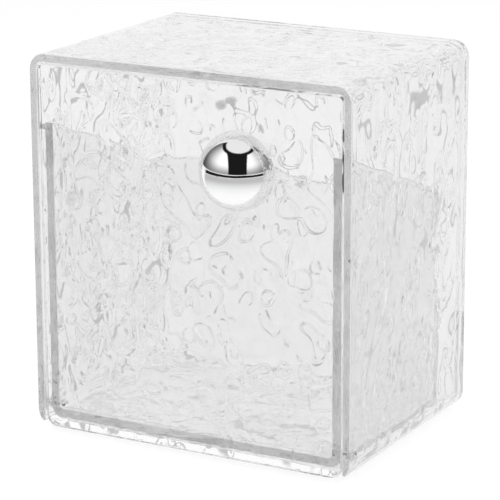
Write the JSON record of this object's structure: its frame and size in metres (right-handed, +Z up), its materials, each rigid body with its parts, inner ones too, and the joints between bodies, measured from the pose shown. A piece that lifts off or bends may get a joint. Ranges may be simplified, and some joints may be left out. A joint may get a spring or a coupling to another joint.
{
  "type": "tilt-out cotton pad box",
  "caption": "Clear rippled plastic box for round cotton pads, with a bin that tilts out of its open front on two low pins and a domed chrome knob.",
  "frame": {"origin": "on the table, under the middle of the object's whole outline, knob included", "axes": "+X to the right seen from the front, +Y from the knob to the back, +Z up"},
  "size_m": [0.11, 0.094, 0.1208],
  "materials": {
    "case_plastic": "clear, smooth outside, rippled inside",
    "foot_rubber": "clear soft rubber",
    "panel_plastic": "clear, smooth outside, rippled inside",
    "tray_plastic": "clear, rippled",
    "pin_plastic": "clear, smooth",
    "knob_chrome": "mirror bright",
    "insert_brass": "turned",
    "washer_plastic": "clear",
    "screw_steel": "zinc plated"
  },
  "bodies": {
    "case": {"outer_case": "case_plastic", "bumper_feet": "foot_rubber"},
    "bin": {"front_panel": "panel_plastic", "bin_tray": "tray_plastic", "pivot_pin_left": "pin_plastic", "pivot_pin_right": "pin_plastic", "knob_dome": "knob_chrome", "knob_insert": "insert_brass", "knob_washer": "washer_plastic", "knob_screw": "screw_steel"}
  },
  "joints": [
    {"name": "bin_tilt", "type": "hinge", "parent": "case", "child": "bin", "pos_m": [0, -0.0301, 0.0086], "axis": [1, 0, 0], "range_deg": [0, 40]}
  ]
}
